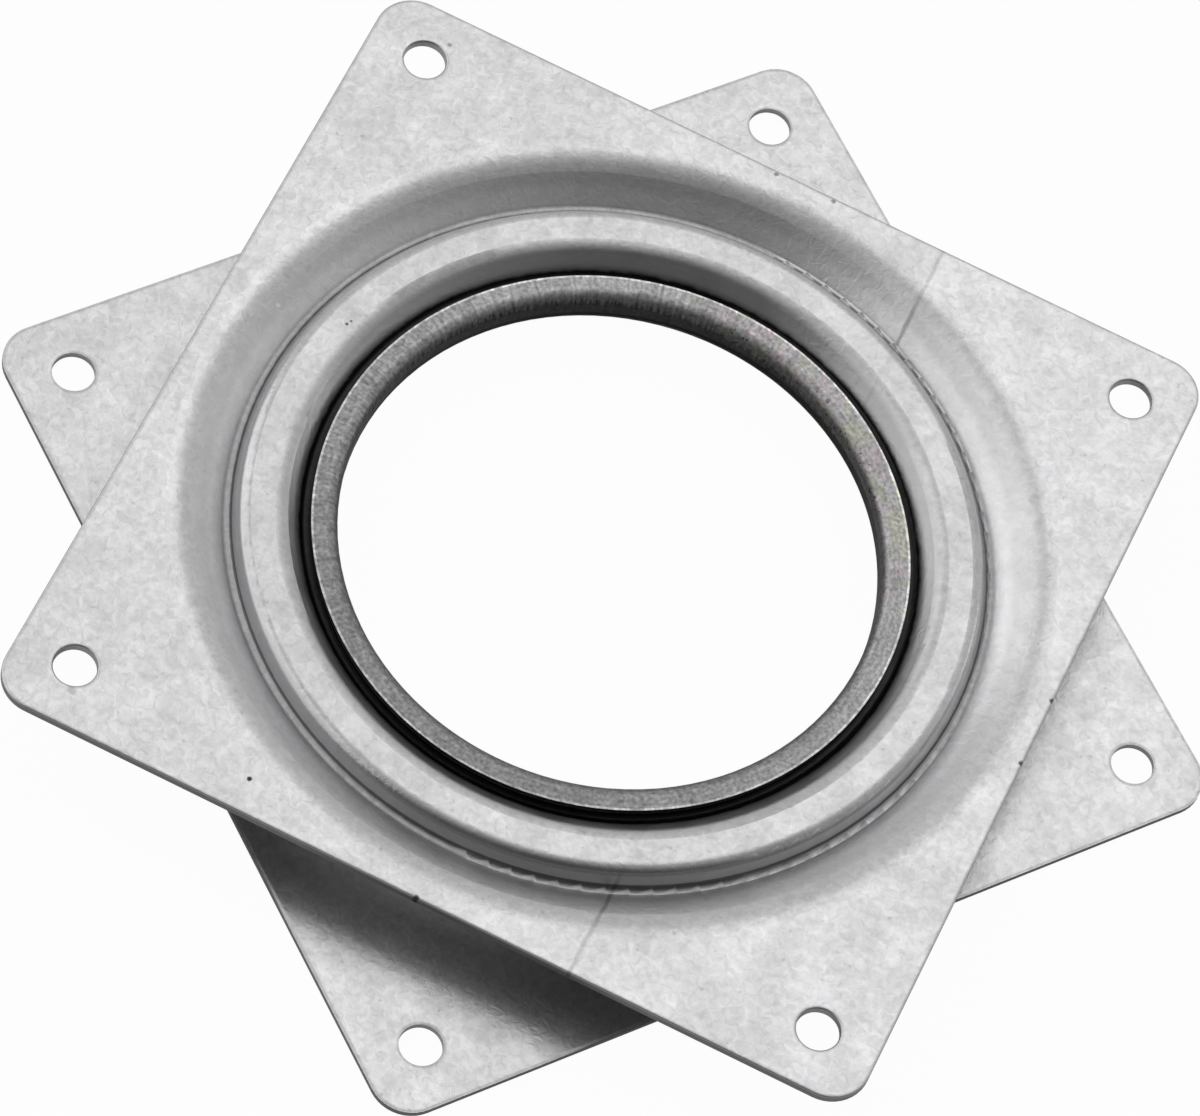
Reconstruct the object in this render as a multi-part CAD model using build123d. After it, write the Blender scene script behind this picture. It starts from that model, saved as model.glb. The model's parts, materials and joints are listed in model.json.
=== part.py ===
from build123d import *
from math import asin, cos, pi, radians, sin, sqrt, tan
import os

# Square turntable bearing: two pressed steel plates turning on a ring of loose balls

os.makedirs("parts", exist_ok=True)

# Square blanks, in millimetres
plate_side = 101.6
corner_radius = 4.5
sheet = 1.0
screw_hole_inset = 7.0
screw_hole_diameter = 4.8
punched_edge_radius = 0.2

# Balls and the races that hold them
ball_diameter = 6.35
ball_spacing = 0.2
race_clearance = 0.1

# Pressed form of both plates, with depths from a plate's outer face
dish_margin = 3.5
dish_depth = 3.3
dish_slope = 32.0
dish_bend = 6.0
crease_bend = 0.6
crown_depth = 0.725
outer_lean = 27.0
outer_shoulder = 1.5
inner_lean = 43.0
inner_shoulder = 2.1
lip_bend = 0.6
lip_width = 2.17

# Flange of the lower plate, rolled out over the upper plate's lip
flange_bend = 1.5
curl_width = 3.05
curl_edge_depth = 2.0
curl_droop = 4.0
curl_clearance = 0.25
flange_clearance = 0.7

# Turn of the upper plate at rest, in degrees about +Z
rest_turn = 38.6

# The screw holes stand in from the sides of the blank
screw_hole_spacing = plate_side - 2 * screw_hole_inset

# The races close on the balls, which sets the height of the stack
race_radius = ball_diameter / 2 + race_clearance
bearing_height = 2 * (crown_depth + sheet + race_radius)
ball_centre_depth = bearing_height / 2

# The dish starts inside the border that the screws hold, and runs down to a crease
dish_radius = plate_side / 2 - dish_margin
crease_radius = dish_radius - dish_depth / tan(radians(dish_slope))

# The lip passes under the curl
lip_depth = curl_edge_depth + sheet + curl_clearance


def race_offset(lean, depth):
    """Distance of a wall's outer face from the ball circle at that depth, tangent to the race."""
    return (race_radius + sheet - (ball_centre_depth - depth) * sin(radians(lean))) / cos(radians(lean))


# The bead rises from the crease, passes over the balls, and falls to the lip
ball_circle_radius = crease_radius - race_offset(outer_lean, dish_depth)
ball_count = int(pi / asin((ball_diameter + ball_spacing) / 2 / ball_circle_radius))
shoulder_radius = crease_radius - (dish_depth - crown_depth) * tan(radians(outer_lean))
wall_foot_radius = ball_circle_radius - race_offset(inner_lean, lip_depth)
wall_top_radius = wall_foot_radius + (lip_depth - crown_depth) * tan(radians(inner_lean))
lip_edge_radius = wall_foot_radius - lip_width

# The flange stands inside the lip, and its curl drops from the top of the flange to its edge
opening_radius = lip_edge_radius - flange_clearance - sheet
curl_edge_radius = opening_radius + curl_width
curl_top_depth = curl_edge_depth - curl_width * tan(radians(curl_droop))

# The pressed form is turned out as far as the corners of the blank, which then trims it
formed_radius = plate_side / sqrt(2)

# Outer face of the sheet from the rim of the blank in to the lip, as (radius, height)
pressed_face = [
    (formed_radius, 0),
    (dish_radius, 0),
    (crease_radius, -dish_depth),
    (shoulder_radius, -crown_depth),
    (wall_top_radius, -crown_depth),
    (wall_foot_radius, -lip_depth),
]
pressed_bends = [dish_bend, crease_bend, outer_shoulder, inner_shoulder, lip_bend]


def pressed_plate(face, bends):
    """A plate with its outer face up at height 0, pressed to the given face outline."""
    with BuildPart() as plate:
        with BuildSketch(Plane.XZ):
            with BuildLine():
                FilletPolyline(*face, radius=bends)
                offset(amount=sheet, side=Side.LEFT)
            make_face()
        revolve(axis=Axis.Z)
        with BuildSketch():
            RectangleRounded(plate_side, plate_side, corner_radius)
            with GridLocations(screw_hole_spacing, screw_hole_spacing, 2, 2):
                Circle(screw_hole_diameter / 2, mode=Mode.SUBTRACT)
        extrude(amount=bearing_height, both=True, mode=Mode.INTERSECT)
        outer_face = plate.faces().filter_by(Plane.XY).sort_by(Axis.Z)[-1]
        dish_rim = outer_face.edges().sort_by(Edge.length)[-1:]
        fillet(outer_face.edges() - dish_rim, punched_edge_radius)
    return plate.part


def upper_plate():
    """The turning plate, ending in a flat lip that the lower plate's curl holds down."""
    face = pressed_face + [(lip_edge_radius, -lip_depth)]
    return Pos(Z=bearing_height) * Rot(Z=rest_turn) * pressed_plate(face, pressed_bends)


def lower_plate():
    """The fixed plate, turned over, with a flange up through the opening and out in a curl."""
    face = pressed_face + [
        (opening_radius, -lip_depth),
        (opening_radius, curl_top_depth - bearing_height),
        (curl_edge_radius, curl_edge_depth - bearing_height),
    ]
    bends = pressed_bends + [flange_bend, flange_bend]
    return Rot(X=180) * pressed_plate(face, bends)


def balls():
    """The loose balls, evenly spaced between the races."""
    ring = PolarLocations(ball_circle_radius, ball_count)
    return [Pos(Z=ball_centre_depth) * place * Sphere(ball_diameter / 2) for place in ring]


pieces = {"lower_plate": lower_plate(), "upper_plate": upper_plate()}
for number, ball in enumerate(balls(), start=1):
    pieces[f"ball_{number:02d}"] = ball

for name, piece in pieces.items():
    export_step(piece, f"parts/{name}.step")
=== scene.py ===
import json
from math import atan2, cos, pi, radians, sin, tan

import bpy
from mathutils import Matrix, Vector


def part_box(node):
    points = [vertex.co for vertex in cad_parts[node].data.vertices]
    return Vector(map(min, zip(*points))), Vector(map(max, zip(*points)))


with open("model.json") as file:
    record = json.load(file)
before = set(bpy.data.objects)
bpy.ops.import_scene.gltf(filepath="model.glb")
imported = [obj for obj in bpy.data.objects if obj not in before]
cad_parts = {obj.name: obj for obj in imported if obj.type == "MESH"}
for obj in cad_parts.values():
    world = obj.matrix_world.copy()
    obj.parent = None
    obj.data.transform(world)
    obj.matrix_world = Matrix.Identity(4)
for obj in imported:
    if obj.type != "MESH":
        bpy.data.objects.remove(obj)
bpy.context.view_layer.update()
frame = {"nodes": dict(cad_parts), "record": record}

MM = 0.001

# Camera, solved from the photograph's eight screw holes and two square outlines
CAMERA_TARGET = Vector((2.560, -3.214, 10.0)) * MM
CAMERA_AZIMUTH = -43.214
CAMERA_ELEVATION = 60.219
CAMERA_DISTANCE = 773.96 * MM
CAMERA_ROLL = 18.77
CAMERA_LENS = 214.35
CAMERA_SENSOR = 36.0
CAMERA_CLIP = (0.01, 20.0)

# Soft round lamps as (azimuth, elevation, angular radius, radiance), with angles in degrees
LAMPS = {
    "overhead": (128.0, 62.0, 14.0, 1.20),
    "left": (231.0, 32.0, 38.0, 0.79),
    "right": (78.0, 3.0, 12.0, 0.88),
}
LAMP_DISTANCE = 3.0

# The room's own light: dark on the camera's side, pale on the other, and lit a little low down.
# The edges are cosines of the angle from the darkest direction, where it is pale and where dark.
ROOM_PALE = 0.80
ROOM_DARK = 0.085
ROOM_DARK_ELEVATION = -5.0
ROOM_EDGES = (-0.58, 0.70)
HORIZON_LIGHT = 0.32
HORIZON_ELEVATIONS = (15.0, 27.0)

# Floor, just under the part, with the share of plain white that the camera and reflections see
FLOOR_SIZE = 6.0
FLOOR_DROP = 0.02 * MM
FLOOR_PAINT = 0.65
FLOOR_WHITE = 0.97
FLOOR_REFLECTED = 0.10

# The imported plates, in millimetres in their own axes
mounts = {mount["name"]: mount for mount in frame["record"]["mounts"]}
hole_at = mounts["upper_screw_pair_a"]["pos_m"]
UPPER_TURN = atan2(hole_at[1], hole_at[0])
PLATE_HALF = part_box("lower_plate")[1][0] / MM
CORNER_RADIUS = 4.5
HOLE_PLACE = mounts["lower_screw_holes"]["dims"]["spacing_x_mm"] / 2
HOLE_RADIUS = mounts["lower_screw_holes"]["dims"]["hole_r_mm"]
CREASE_RADIUS = 42.26
CREASE_HEIGHT = 6.96
SHOULDER_RADIUS = 40.7
LIP_RADIUS = 33.9
CURL_EDGE_RADIUS = 33.05
OPENING_RADIUS = 30.0

# Sheared edges: how far in they are rolled over and by how much, and how far in their rims carry painted
# shade
ROLLED_EDGE = 0.55
ROLLED_DEPTH = 0.045
RIM_SHADE_WIDTH = 0.2

# Zones of the upper plate's pressed form, as (from, to, soft edge) in radius or height
OUTER_WALL = (SHOULDER_RADIUS + 0.3, CREASE_RADIUS - 0.35, 0.3)
OUTER_SHOULDER = (SHOULDER_RADIUS - 0.2, SHOULDER_RADIUS, 0.9)
CREASE_SHADE = (CREASE_RADIUS, CREASE_RADIUS + 0.3, 0.4)
SLOPE_FOOT_LIGHT = (CREASE_RADIUS + 0.6, CREASE_RADIUS + 1.6, 1.2)
INNER_WALL_FOOT_SHADE = (LIP_RADIUS + 1.2, LIP_RADIUS + 1.8, 0.8)
OUTER_WALL_FOOT_SHADE = (CREASE_HEIGHT + 0.25, CREASE_HEIGHT + 0.45, 0.14)

# Where one zone gives way to the next, as (from, to) in radius or height
CROWN_EDGE = (SHOULDER_RADIUS - 0.2, SHOULDER_RADIUS + 0.4)
BEAD_EDGE = (SHOULDER_RADIUS, SHOULDER_RADIUS + 0.3)
SLOPE_EDGE = (CREASE_RADIUS + 0.1, CREASE_RADIUS + 0.4)
LIP_EDGE = (LIP_RADIUS + 0.35, LIP_RADIUS + 0.75)
TROUGH_EDGE = (CREASE_HEIGHT + 0.02, CREASE_HEIGHT + 0.15)

# Zones of the curl and the flange under it, in the same two forms
ARRIS = (CURL_EDGE_RADIUS - 0.22, CURL_EDGE_RADIUS - 0.05, 0.06)
CURL_EDGE = (CURL_EDGE_RADIUS + 0.2, CURL_EDGE_RADIUS + 0.3)
CUT_FACE_EDGE = (CURL_EDGE_RADIUS - 0.06, CURL_EDGE_RADIUS)
BEND_EDGE = (OPENING_RADIUS - 0.05, OPENING_RADIUS + 0.75)
INNER_WALL_EDGE = (OPENING_RADIUS + 0.2, OPENING_RADIUS + 0.5)
SPECKS_EDGE = (OPENING_RADIUS + 0.6, OPENING_RADIUS + 1.4)
FLANGE_HEIGHTS = (4.0, 4.4)
WALL_SHADE_HEIGHTS = (6.9, 7.6)
FOOT_SHADE_HEIGHTS = (4.9, 5.3)
CUT_FACE_HEIGHTS = (7.1, 7.2)

# Azimuths in degrees that the curl's drawn streaks, its painted light and the painted shade of its inner
# wall centre on
STREAK_AZIMUTH = 190.0
CURL_LIT_AZIMUTH = 115.0
INNER_WALL_AZIMUTH = 165.0

# Where handling has stained the curl, and the stains' colours
STAIN_AZIMUTH = 95.0
OLIVE = (0.525, 0.525, 0.46)
PINK = (0.56, 0.50, 0.52)

# Cosines of the angle from their azimuths between which the streaks and the stains come in
STREAK_REACH = (-0.3, 0.5)
STAIN_REACH = (0.6, 0.95)

# Upward part of the normal between which each detail comes in or goes
FLAT_UP = (0.75, 1.0)
WALL_UP = (0.15, 0.5)
LINE_UP = (0.85, 0.98)
ARRIS_UP = (0.5, 0.8)
CUT_FACE_UP = (0.3, 0.6)

# Levels of the noise between which each kind of mark comes in
CRYSTAL_WIDTH = 0.045
PIT_LEVELS = (0.66, 0.76)
OLIVE_LEVELS = (0.5, 0.62)
PINK_LEVELS = (0.38, 0.5)
SPECK_LEVELS = (0.64, 0.7)
ARRIS_LEVELS = (0.3, 0.55)

# A faint straight line across the upper plate, and its marks as (x, y, size, depth)
LINE_X = 17.75
LINE_WAVER = 0.5
LINE_HALF_WIDTH = (0.08, 0.36)
UPPER_MARKS = (
    (-36.8, 8.9, 0.2, 0.8),
    (-36.5, 9.5, 0.17, 0.7),
    (-21.7, -46.8, 0.3, 0.93),
    (-0.2, -50.7, 0.35, 0.8),
    (50.7, 4.5, 0.35, 0.8),
    (50.7, -4.2, 0.35, 0.8),
    (-2.9, 50.3, 0.3, 0.6),
    (4.2, 50.3, 0.3, 0.6),
    (-42.2, 47.0, 0.3, 0.5),
    (-44.5, 7.6, 0.25, -0.3),
    (-42.8, -46.6, 0.5, 0.25),
)

# Metals
ZINC = (0.528, 0.522, 0.530)
ZINC_ROUGHNESS = 0.36
BALL_STEEL = (0.62, 0.62, 0.64)
BALL_ROUGHNESS = 0.12

# Sizes of what the noise draws on the zinc coating, on the curl and on the balls, in millimetres
CLOUD_SIZE = 13.0
PATCH_SIZE = 4.0
CRYSTAL_SIZE = 1.7
MOTTLE_SIZE = 1.0
MOTTLE_HEIGHT = 0.03
PIT_SIZE = 0.9
LIP_SHADE_SIZE = 1.5
LINE_WAVER_SIZE = 3.0
SPOT_EDGE_SIZE = 0.5
CURL_GRAIN_SIZE = 0.45
STREAK_SIZE = 0.45
RING_SIZE = 0.35
STAIN_SIZE = 2.2
SPECK_SIZE = 0.6
ARRIS_BREAK_SIZE = 1.3
POLISH_SIZE = 0.8

# Places are shortened to this share along the streaks and the rings, which draws the noise out there
DRAWN_OUT = 0.12


def direction(azimuth, elevation):
    """Unit vector at that azimuth from +X, in degrees, and elevation."""
    a, e = radians(azimuth), radians(elevation)
    return Vector((cos(a) * cos(e), sin(a) * cos(e), sin(e)))


class Nodes:
    """A node tree and short calls that add a node to it."""

    def __init__(self, tree):
        self.tree = tree
        tree.nodes.clear()

    def add(self, kind, inputs=None, **settings):
        """Adds a node of that kind. An input's value is a number, a vector or another node's socket."""
        node = self.tree.nodes.new(kind)
        for name, value in settings.items():
            setattr(node, name, value)
        for name, value in (inputs or {}).items():
            if isinstance(value, bpy.types.NodeSocket):
                self.tree.links.new(value, node.inputs[name])
            else:
                node.inputs[name].default_value = value
        return node

    def math(self, operation, *values):
        return self.add("ShaderNodeMath", dict(enumerate(values)), operation=operation).outputs[0]

    def product(self, first, *others):
        for other in others:
            first = self.math("MULTIPLY", first, other)
        return first

    def vector(self, operation, *values):
        return self.add("ShaderNodeVectorMath", dict(enumerate(values)), operation=operation).outputs[0]

    def length(self, vector):
        return self.add("ShaderNodeVectorMath", {0: vector}, operation="LENGTH").outputs["Value"]

    def scale(self, vector, factor):
        return self.add("ShaderNodeVectorMath", {0: vector, "Scale": factor}, operation="SCALE").outputs[0]

    def dot(self, vector, other):
        inputs = {0: vector, 1: other}
        return self.add("ShaderNodeVectorMath", inputs, operation="DOT_PRODUCT").outputs["Value"]

    def split(self, vector):
        return self.add("ShaderNodeSeparateXYZ", {0: vector}).outputs

    def smooth(self, value, low, high, to_low=0.0, to_high=1.0):
        """value carried smoothly from low..high to to_low..to_high."""
        inputs = {"Value": value, "From Min": low, "From Max": high, "To Min": to_low, "To Max": to_high}
        return self.add("ShaderNodeMapRange", inputs, interpolation_type="SMOOTHSTEP").outputs["Result"]

    def under(self, value, low, high):
        """1 up to low, falling smoothly to 0 at high."""
        return self.smooth(value, low, high, 1.0, 0.0)

    def band(self, value, low, high, edge):
        """1 between low and high, falling to 0 over edge outside them."""
        return self.product(self.smooth(value, low - edge, low), self.under(value, high, high + edge))

    def noise(self, place, size, detail=2.0, distortion=0.0):
        """Noise from 0 to 1 with features about size long."""
        inputs = {"Vector": place, "Scale": 1 / size, "Detail": detail, "Distortion": distortion}
        return self.add("ShaderNodeTexNoise", inputs).outputs["Fac"]

    def hollow(self, noise):
        """How far the noise lies under its middle."""
        return self.math("SUBTRACT", 0.5, noise)

    def ridge(self, noise, width):
        """1 along the thin winding lines where the noise is at its middle."""
        return self.under(self.math("ABSOLUTE", self.math("SUBTRACT", noise, 0.5)), 0.0, width)


class Metal(Nodes):
    """A metal's nodes: its colour, tone, roughness and height, which each detail then changes."""

    def __init__(self, name, colour, roughness, turn=0.0):
        self.material = bpy.data.materials.new(name)
        self.material.use_nodes = True
        super().__init__(self.material.node_tree)
        coords = self.add("ShaderNodeTexCoord").outputs
        turned = {"Vector": coords["Object"], "Angle": -turn}
        own = self.add("ShaderNodeVectorRotate", turned, rotation_type="Z_AXIS").outputs[0]
        self.place = self.scale(own, 1 / MM)
        self.x, self.y, self.z = self.split(self.place)
        self.plan = self.vector("MULTIPLY", self.place, (1, 1, 0))
        self.radius = self.length(self.plan)
        self.up = self.split(coords["Normal"])["Z"]
        self.colour = colour
        self.tone = 1.0
        self.roughness = roughness
        self.height = 0.0

    def toward(self, azimuth):
        """Cosine of the angle about the axis between a point and that azimuth, in degrees."""
        return self.math("DIVIDE", self.dot(self.place, direction(azimuth, 0)), self.radius)

    def dim(self, mask, share):
        """Takes that share of the tone away where mask is 1, or adds it where share is negative."""
        taken = self.math("MULTIPLY", mask, share)
        self.tone = self.math("MULTIPLY", self.tone, self.math("SUBTRACT", 1.0, taken))

    def tint(self, mask, colour):
        """Carries the colour to another where mask is 1."""
        inputs = {0: mask, 4: self.colour, 5: colour}
        self.colour = self.add("ShaderNodeMix", inputs, data_type="VECTOR").outputs[1]

    def roughen(self, mask, amount):
        """Adds that roughness where mask is 1."""
        self.roughness = self.math("MULTIPLY_ADD", mask, amount, self.roughness)

    def lift(self, mask, height):
        """Raises the surface by that height in millimetres where mask is 1."""
        self.height = self.math("MULTIPLY_ADD", mask, height, self.height)

    def finish(self):
        """The finished material. A colour that is the same all over goes on the shader's own socket."""
        inputs = {"Metallic": 1.0, "Roughness": self.roughness}
        if isinstance(self.tone, bpy.types.NodeSocket):
            inputs["Base Color"] = self.scale(self.colour, self.tone)
        else:
            inputs["Base Color"] = (*self.colour, 1.0)
        if isinstance(self.height, bpy.types.NodeSocket):
            bump = self.add("ShaderNodeBump", {"Height": self.height, "Distance": MM})
            inputs["Normal"] = bump.outputs[0]
        metal = self.add("ShaderNodeBsdfPrincipled", inputs)
        self.add("ShaderNodeOutputMaterial", {"Surface": metal.outputs[0]})
        return self.material


def camera():
    """The photograph's camera."""
    data = bpy.data.cameras.new("camera")
    data.sensor_width = CAMERA_SENSOR
    data.lens = CAMERA_LENS
    data.clip_start, data.clip_end = CAMERA_CLIP
    cam = bpy.data.objects.new("camera", data)
    back = direction(CAMERA_AZIMUTH, CAMERA_ELEVATION)
    right = (-back).cross(Vector((0, 0, 1))).normalized()
    up = right.cross(-back)
    roll = radians(CAMERA_ROLL)
    turned_up = cos(roll) * up - sin(roll) * right
    turned_right = (-back).cross(turned_up)
    turn = Matrix((turned_right, turned_up, back)).transposed()
    cam.matrix_world = Matrix.Translation(CAMERA_TARGET + back * CAMERA_DISTANCE) @ turn.to_4x4()
    bpy.context.scene.collection.objects.link(cam)
    bpy.context.scene.camera = cam


def lamps():
    """Round soft lamps that face the part. The energy gives each disk its radiance."""
    for name, (azimuth, elevation, angle, radiance) in LAMPS.items():
        lamp = bpy.data.lights.new(name, "AREA")
        lamp.shape = "DISK"
        lamp.size = 2 * LAMP_DISTANCE * tan(radians(angle))
        lamp.energy = radiance * pi ** 2 * (lamp.size / 2) ** 2
        place = bpy.data.objects.new(name, lamp)
        towards = direction(azimuth, elevation)
        place.location = towards * LAMP_DISTANCE
        place.rotation_mode = "QUATERNION"
        place.rotation_quaternion = towards.to_track_quat("Z", "Y")
        bpy.context.scene.collection.objects.link(place)


def room():
    """The room's own light, as a gradient over directions."""
    world = bpy.data.worlds.new("room")
    world.use_nodes = True
    bpy.context.scene.world = world
    n = Nodes(world.node_tree)
    ray = n.add("ShaderNodeTexCoord").outputs["Generated"]
    facing = n.dot(ray, direction(CAMERA_AZIMUTH, ROOM_DARK_ELEVATION))
    lit_to, dark_from = (sin(radians(elevation)) for elevation in HORIZON_ELEVATIONS)
    horizon = n.smooth(n.split(ray)["Z"], lit_to, dark_from, HORIZON_LIGHT, 0.0)
    strength = n.math("MAXIMUM", n.smooth(facing, *ROOM_EDGES, ROOM_PALE, ROOM_DARK), horizon)
    background = n.add("ShaderNodeBackground", {"Color": (1.0, 1.0, 1.0, 1.0), "Strength": strength})
    n.add("ShaderNodeOutputWorld", {"Surface": background.outputs[0]})


def floor():
    """A plain pale floor that holds the object's shadow and is seen as white where it is lit."""
    mesh = bpy.data.meshes.new("floor")
    half = FLOOR_SIZE / 2
    corners = [(x * half, y * half, -FLOOR_DROP) for x, y in ((-1, -1), (1, -1), (1, 1), (-1, 1))]
    mesh.from_pydata(corners, [], [(0, 1, 2, 3)])
    obj = bpy.data.objects.new("floor", mesh)
    material = bpy.data.materials.new("floor")
    material.use_nodes = True
    n = Nodes(material.node_tree)
    paint = n.add("ShaderNodeBsdfDiffuse", {"Color": (FLOOR_PAINT, FLOOR_PAINT, FLOOR_PAINT, 1.0)})
    glow = n.add("ShaderNodeEmission", {"Color": (1.0, 1.0, 1.0, 1.0), "Strength": 1.0})
    path = n.add("ShaderNodeLightPath").outputs
    reflected = n.math("MAXIMUM", path["Is Glossy Ray"], path["Is Transmission Ray"])
    seen = n.math("MULTIPLY", path["Is Camera Ray"], FLOOR_WHITE)
    share = n.math("MULTIPLY_ADD", reflected, FLOOR_REFLECTED, seen)
    mixed = n.add("ShaderNodeMixShader", {0: share, 1: paint.outputs[0], 2: glow.outputs[0]})
    n.add("ShaderNodeOutputMaterial", {"Surface": mixed.outputs[0]})
    mesh.materials.append(material)
    bpy.context.scene.collection.objects.link(obj)


def zinc_grain(m):
    """Clouds, winding crystals and small pits in the coating, smoothed out where the sheet is stretched."""
    flat = m.smooth(m.up, *FLAT_UP, 0.2, 1.0)
    clouds = m.noise(m.place, CLOUD_SIZE)
    patches = m.noise(m.place, PATCH_SIZE, detail=3.0)
    mottle = m.noise(m.place, MOTTLE_SIZE, detail=3.0, distortion=1.0)
    crystals = m.ridge(m.noise(m.place, CRYSTAL_SIZE, detail=1.0, distortion=2.5), CRYSTAL_WIDTH)
    pits = m.smooth(m.noise(m.place, PIT_SIZE), *PIT_LEVELS)
    for noise, share in ((clouds, 0.12), (patches, 0.13), (mottle, 0.56)):
        m.dim(m.product(flat, m.hollow(noise)), share)
    m.dim(m.product(flat, crystals), -0.06)
    m.dim(m.product(flat, pits), 0.18)
    m.lift(mottle, MOTTLE_HEIGHT)
    m.roughen(m.hollow(patches), 0.15)


def sheared_edges(m):
    """The blank's outline and screw holes, rolled over slightly, with painted shade on their rims and on
    the cut outline.
    """
    folded = m.vector("ABSOLUTE", m.plan)
    inner = PLATE_HALF - CORNER_RADIUS
    beyond = m.vector("SUBTRACT", folded, (inner, inner, 0))
    outside = m.length(m.vector("MAXIMUM", beyond, (0, 0, 0)))
    beyond_x, beyond_y, _ = m.split(beyond)
    inside = m.math("MINIMUM", m.math("MAXIMUM", beyond_x, beyond_y), 0.0)
    from_outline = m.math("SUBTRACT", CORNER_RADIUS, m.math("ADD", outside, inside))
    from_centre = m.length(m.vector("SUBTRACT", folded, (HOLE_PLACE, HOLE_PLACE, 0)))
    from_hole = m.math("SUBTRACT", from_centre, HOLE_RADIUS)

    wall = m.under(m.math("ABSOLUTE", m.up), *WALL_UP)
    face = m.under(wall, 0.0, 1.0)
    # Painted shade: the outline's cut walls are darkened as if they faced away from the light.
    m.dim(m.product(m.under(from_outline, 0.0, ROLLED_EDGE), wall), 0.55)
    # Painted shade along the rims of the outline and the holes, on the rolled-over rounding.
    for distance, share in ((from_outline, 0.1), (from_hole, 0.35)):
        m.lift(m.math("POWER", m.under(distance, 0.0, ROLLED_EDGE), 2.0), -ROLLED_DEPTH)
        m.dim(m.product(m.under(distance, 0.0, RIM_SHADE_WIDTH), face), share)


def pressed_form(m):
    """Painted shade on the bead's outer wall, a slightly darker crown, painted shade in the crease and at
    the foot of the wall, painted light on the foot of the slope, and painted shade inside the bead down to
    the lip.
    """
    # Painted shade: the bead's outer wall is darkened all round.
    m.dim(m.band(m.radius, *OUTER_WALL), 0.28)
    m.dim(m.under(m.radius, *CROWN_EDGE), 0.08)
    m.roughen(m.band(m.radius, *OUTER_SHOULDER), -0.09)

    off_the_bead = m.smooth(m.radius, *BEAD_EDGE)
    m.roughen(m.product(m.under(m.z, *TROUGH_EDGE), off_the_bead), 0.25)
    # Painted shade in the crease and along the foot of the bead's outer wall.
    m.dim(m.band(m.radius, *CREASE_SHADE), 0.16)
    wall_foot = m.product(m.under(m.radius, *SLOPE_EDGE), off_the_bead)
    m.dim(m.product(wall_foot, m.band(m.z, *OUTER_WALL_FOOT_SHADE)), 0.6)
    # Painted light: the foot of the slope is made lighter all round.
    m.dim(m.band(m.radius, *SLOPE_FOOT_LIGHT), -0.18)

    # Painted shade inside the bead: darker at the inner wall's foot and nearly black over the lip, with a
    # ragged edge.
    m.dim(m.band(m.radius, *INNER_WALL_FOOT_SHADE), 0.08)
    ragged = m.math("MULTIPLY_ADD", m.noise(m.place, LIP_SHADE_SIZE, detail=3.0), 0.3, m.radius)
    m.dim(m.under(ragged, *LIP_EDGE), 0.96)


def spot(m, x, y, radius):
    """1 on a small uneven spot at that place on the plate."""
    away = m.length(m.vector("SUBTRACT", m.plan, (x, y, 0)))
    ragged = m.math("MULTIPLY_ADD", m.noise(m.place, SPOT_EDGE_SIZE), radius, away)
    return m.under(ragged, radius, 1.8 * radius)


def line_and_marks(m):
    """The faint wavering line across the upper plate, weaker over the bead, and the small marks."""
    waver = m.math("MULTIPLY_ADD", m.noise(m.place, LINE_WAVER_SIZE), LINE_WAVER, m.x)
    across = m.math("ABSOLUTE", m.math("SUBTRACT", waver, LINE_X + LINE_WAVER / 2))
    line = m.product(m.under(across, *LINE_HALF_WIDTH), m.smooth(m.up, *LINE_UP, 1.0, 0.5))
    m.dim(m.product(line, m.smooth(m.radius, SHOULDER_RADIUS, CREASE_RADIUS, 0.3, 1.0)), 0.42)
    for x, y, size, depth in UPPER_MARKS:
        m.dim(spot(m, x, y, size), depth)


def curl_wear_and_sheen(m, curl, streaks, rings):
    """The curl's worn darker tone and grain, with painted light on one side, streaks across it on one side
    and rings on the other.
    """
    grain = m.noise(m.place, CURL_GRAIN_SIZE)
    drawn = m.smooth(m.toward(STREAK_AZIMUTH), *STREAK_REACH)
    # A darker worn tone all round, less dark toward one azimuth: painted light on the side toward the
    # lamps.
    m.dim(curl, m.math("MULTIPLY_ADD", m.toward(CURL_LIT_AZIMUTH), -0.12, 0.45))
    m.dim(m.product(curl, m.hollow(grain)), 1.5)
    m.dim(m.product(curl, drawn, m.hollow(streaks)), 1.2)
    m.dim(m.product(curl, m.under(drawn, 0.0, 1.0), m.hollow(rings)), 0.8)
    m.roughen(curl, 0.08)


def curl_stains(m, curl):
    """Olive and pink stains with dark specks, where the curl has been handled."""
    stained = m.product(curl, m.smooth(m.toward(STAIN_AZIMUTH), *STAIN_REACH))
    stains = m.noise(m.place, STAIN_SIZE)
    m.tint(m.product(stained, m.smooth(stains, *OLIVE_LEVELS)), OLIVE)
    m.tint(m.product(stained, m.under(stains, *PINK_LEVELS)), PINK)
    specks = m.smooth(m.noise(m.place, SPECK_SIZE, detail=1.0), *SPECK_LEVELS)
    m.dim(m.product(stained, specks, m.under(m.radius, *SPECKS_EDGE)), 0.7)


def flange_wall(m, curl, streaks):
    """The flange's bend and inner wall in painted shade, from a ragged line down and darkest at the foot.
    """
    # Painted shade on the bend where the flange turns down into the opening.
    m.dim(m.product(curl, m.under(m.radius, *BEND_EDGE)), 0.7)
    aside = m.math("SUBTRACT", 1.0, m.toward(INNER_WALL_AZIMUTH))
    level = m.math("MULTIPLY_ADD", aside, 2.0, m.z)
    ragged = m.math("MULTIPLY_ADD", m.math("SUBTRACT", streaks, 0.5), 3.0, level)
    foot = m.math("MULTIPLY_ADD", aside, -1.2, m.z)
    inner_wall = m.product(m.under(m.radius, *INNER_WALL_EDGE), curl)
    # Painted shade on the inner wall, reaching higher on the side toward one azimuth, and deepest at the
    # foot.
    m.dim(m.product(inner_wall, m.under(ragged, *WALL_SHADE_HEIGHTS)), 0.6)
    m.dim(m.product(inner_wall, m.under(foot, *FOOT_SHADE_HEIGHTS)), 0.8)


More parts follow.
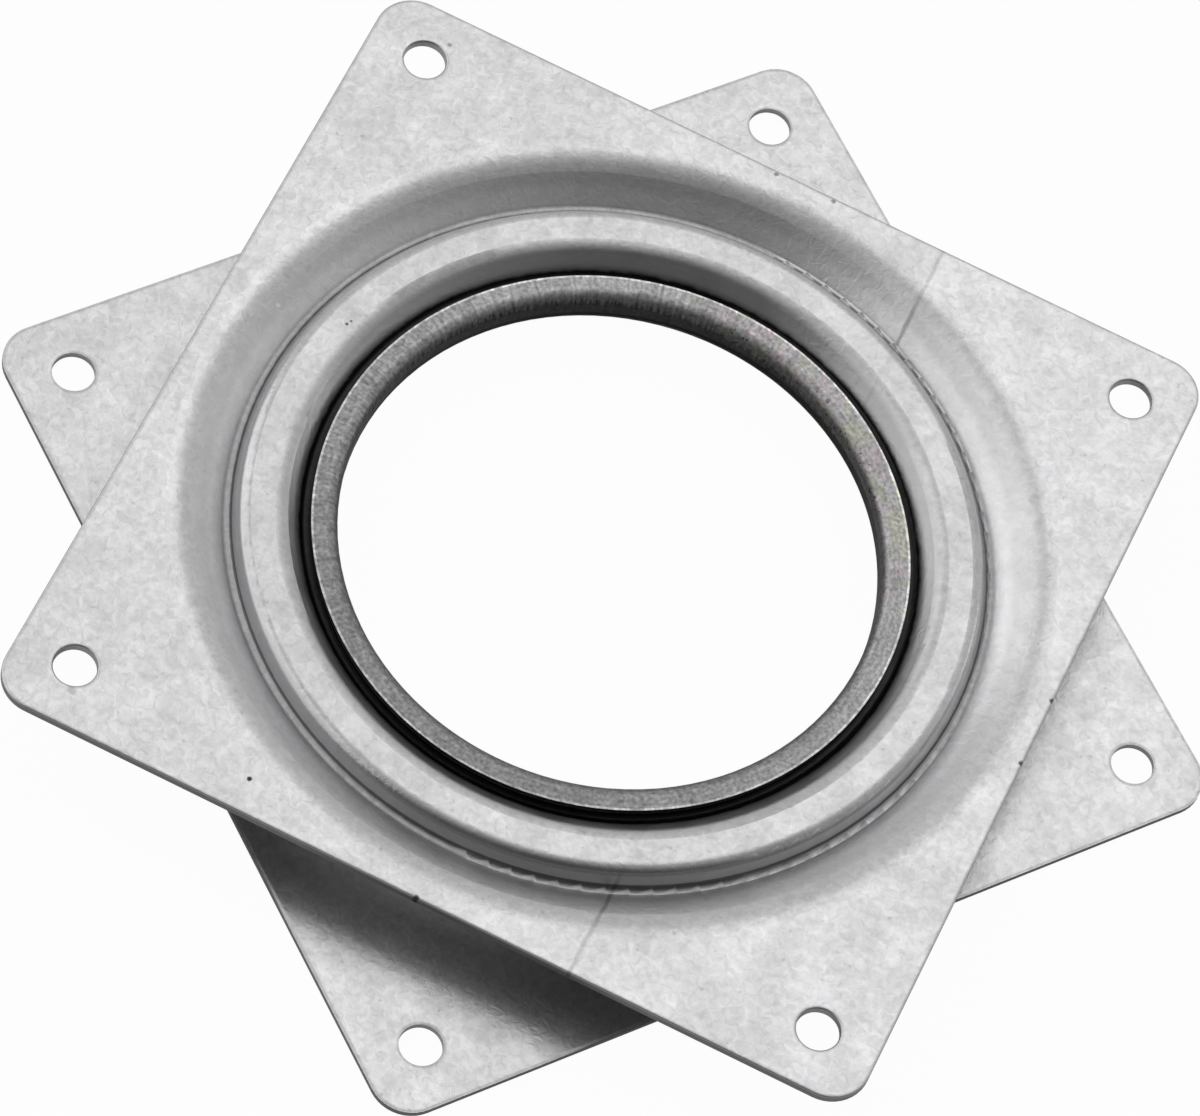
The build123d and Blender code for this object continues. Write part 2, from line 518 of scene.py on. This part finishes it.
def curl_edges(m, curl):
    """The curl's painted highlight along its broken arris, and its cut face in painted shade."""
    broken = m.smooth(m.noise(m.place, ARRIS_BREAK_SIZE), *ARRIS_LEVELS, 0.3, 1.0)
    # Painted highlight: a broken bright line along the curl's top arris.
    m.dim(m.product(m.band(m.radius, *ARRIS), broken, m.smooth(m.up, *ARRIS_UP)), -1.0)
    cut_face = m.product(m.smooth(m.radius, *CUT_FACE_EDGE), m.under(m.up, *CUT_FACE_UP))
    # Painted shade: the curl's cut face, in the gap beside the bead, is made nearly black.
    m.dim(m.product(cut_face, curl, m.smooth(m.z, *CUT_FACE_HEIGHTS, 0.5, 1.0)), 0.95)


def curl_finish(m):
    """The rolled flange, from its worn and stained curl with painted light on one side down to its inner
    wall in painted shade.
    """
    curl = m.product(m.under(m.radius, *CURL_EDGE), m.smooth(m.z, *FLANGE_HEIGHTS))
    around = m.math("MULTIPLY", m.math("ARCTAN2", m.y, m.x), CURL_EDGE_RADIUS)
    polar = m.add("ShaderNodeCombineXYZ", {0: around, 1: m.radius, 2: m.z}).outputs[0]
    streaks = m.noise(m.vector("MULTIPLY", polar, (1, DRAWN_OUT, DRAWN_OUT)), STREAK_SIZE, detail=3.0)
    rings = m.noise(m.vector("MULTIPLY", polar, (DRAWN_OUT, 1, 1)), RING_SIZE)
    curl_wear_and_sheen(m, curl, streaks, rings)
    curl_stains(m, curl)
    flange_wall(m, curl, streaks)
    curl_edges(m, curl)


def upper_finish():
    """The turning plate, with its line and marks."""
    m = Metal("upper_zinc", ZINC, ZINC_ROUGHNESS, UPPER_TURN)
    zinc_grain(m)
    sheared_edges(m)
    pressed_form(m)
    line_and_marks(m)
    return m.finish()


def lower_finish():
    """The fixed plate and its rolled flange."""
    m = Metal("lower_zinc", ZINC, ZINC_ROUGHNESS)
    zinc_grain(m)
    sheared_edges(m)
    curl_finish(m)
    return m.finish()


def ball_finish():
    """Polished hardened steel with fine polishing marks."""
    m = Metal("ball_steel", BALL_STEEL, BALL_ROUGHNESS)
    m.roughen(m.noise(m.place, POLISH_SIZE, detail=3.0), 0.06)
    return m.finish()


finishes = {"upper_plate": upper_finish(), "lower_plate": lower_finish(), "ball": ball_finish()}
for name, node in frame["nodes"].items():
    node.data.materials.clear()
    node.data.materials.append(finishes["ball" if name.startswith("ball") else name])

camera()
lamps()
room()
floor()

bpy.context.scene.view_settings.view_transform = "Standard"
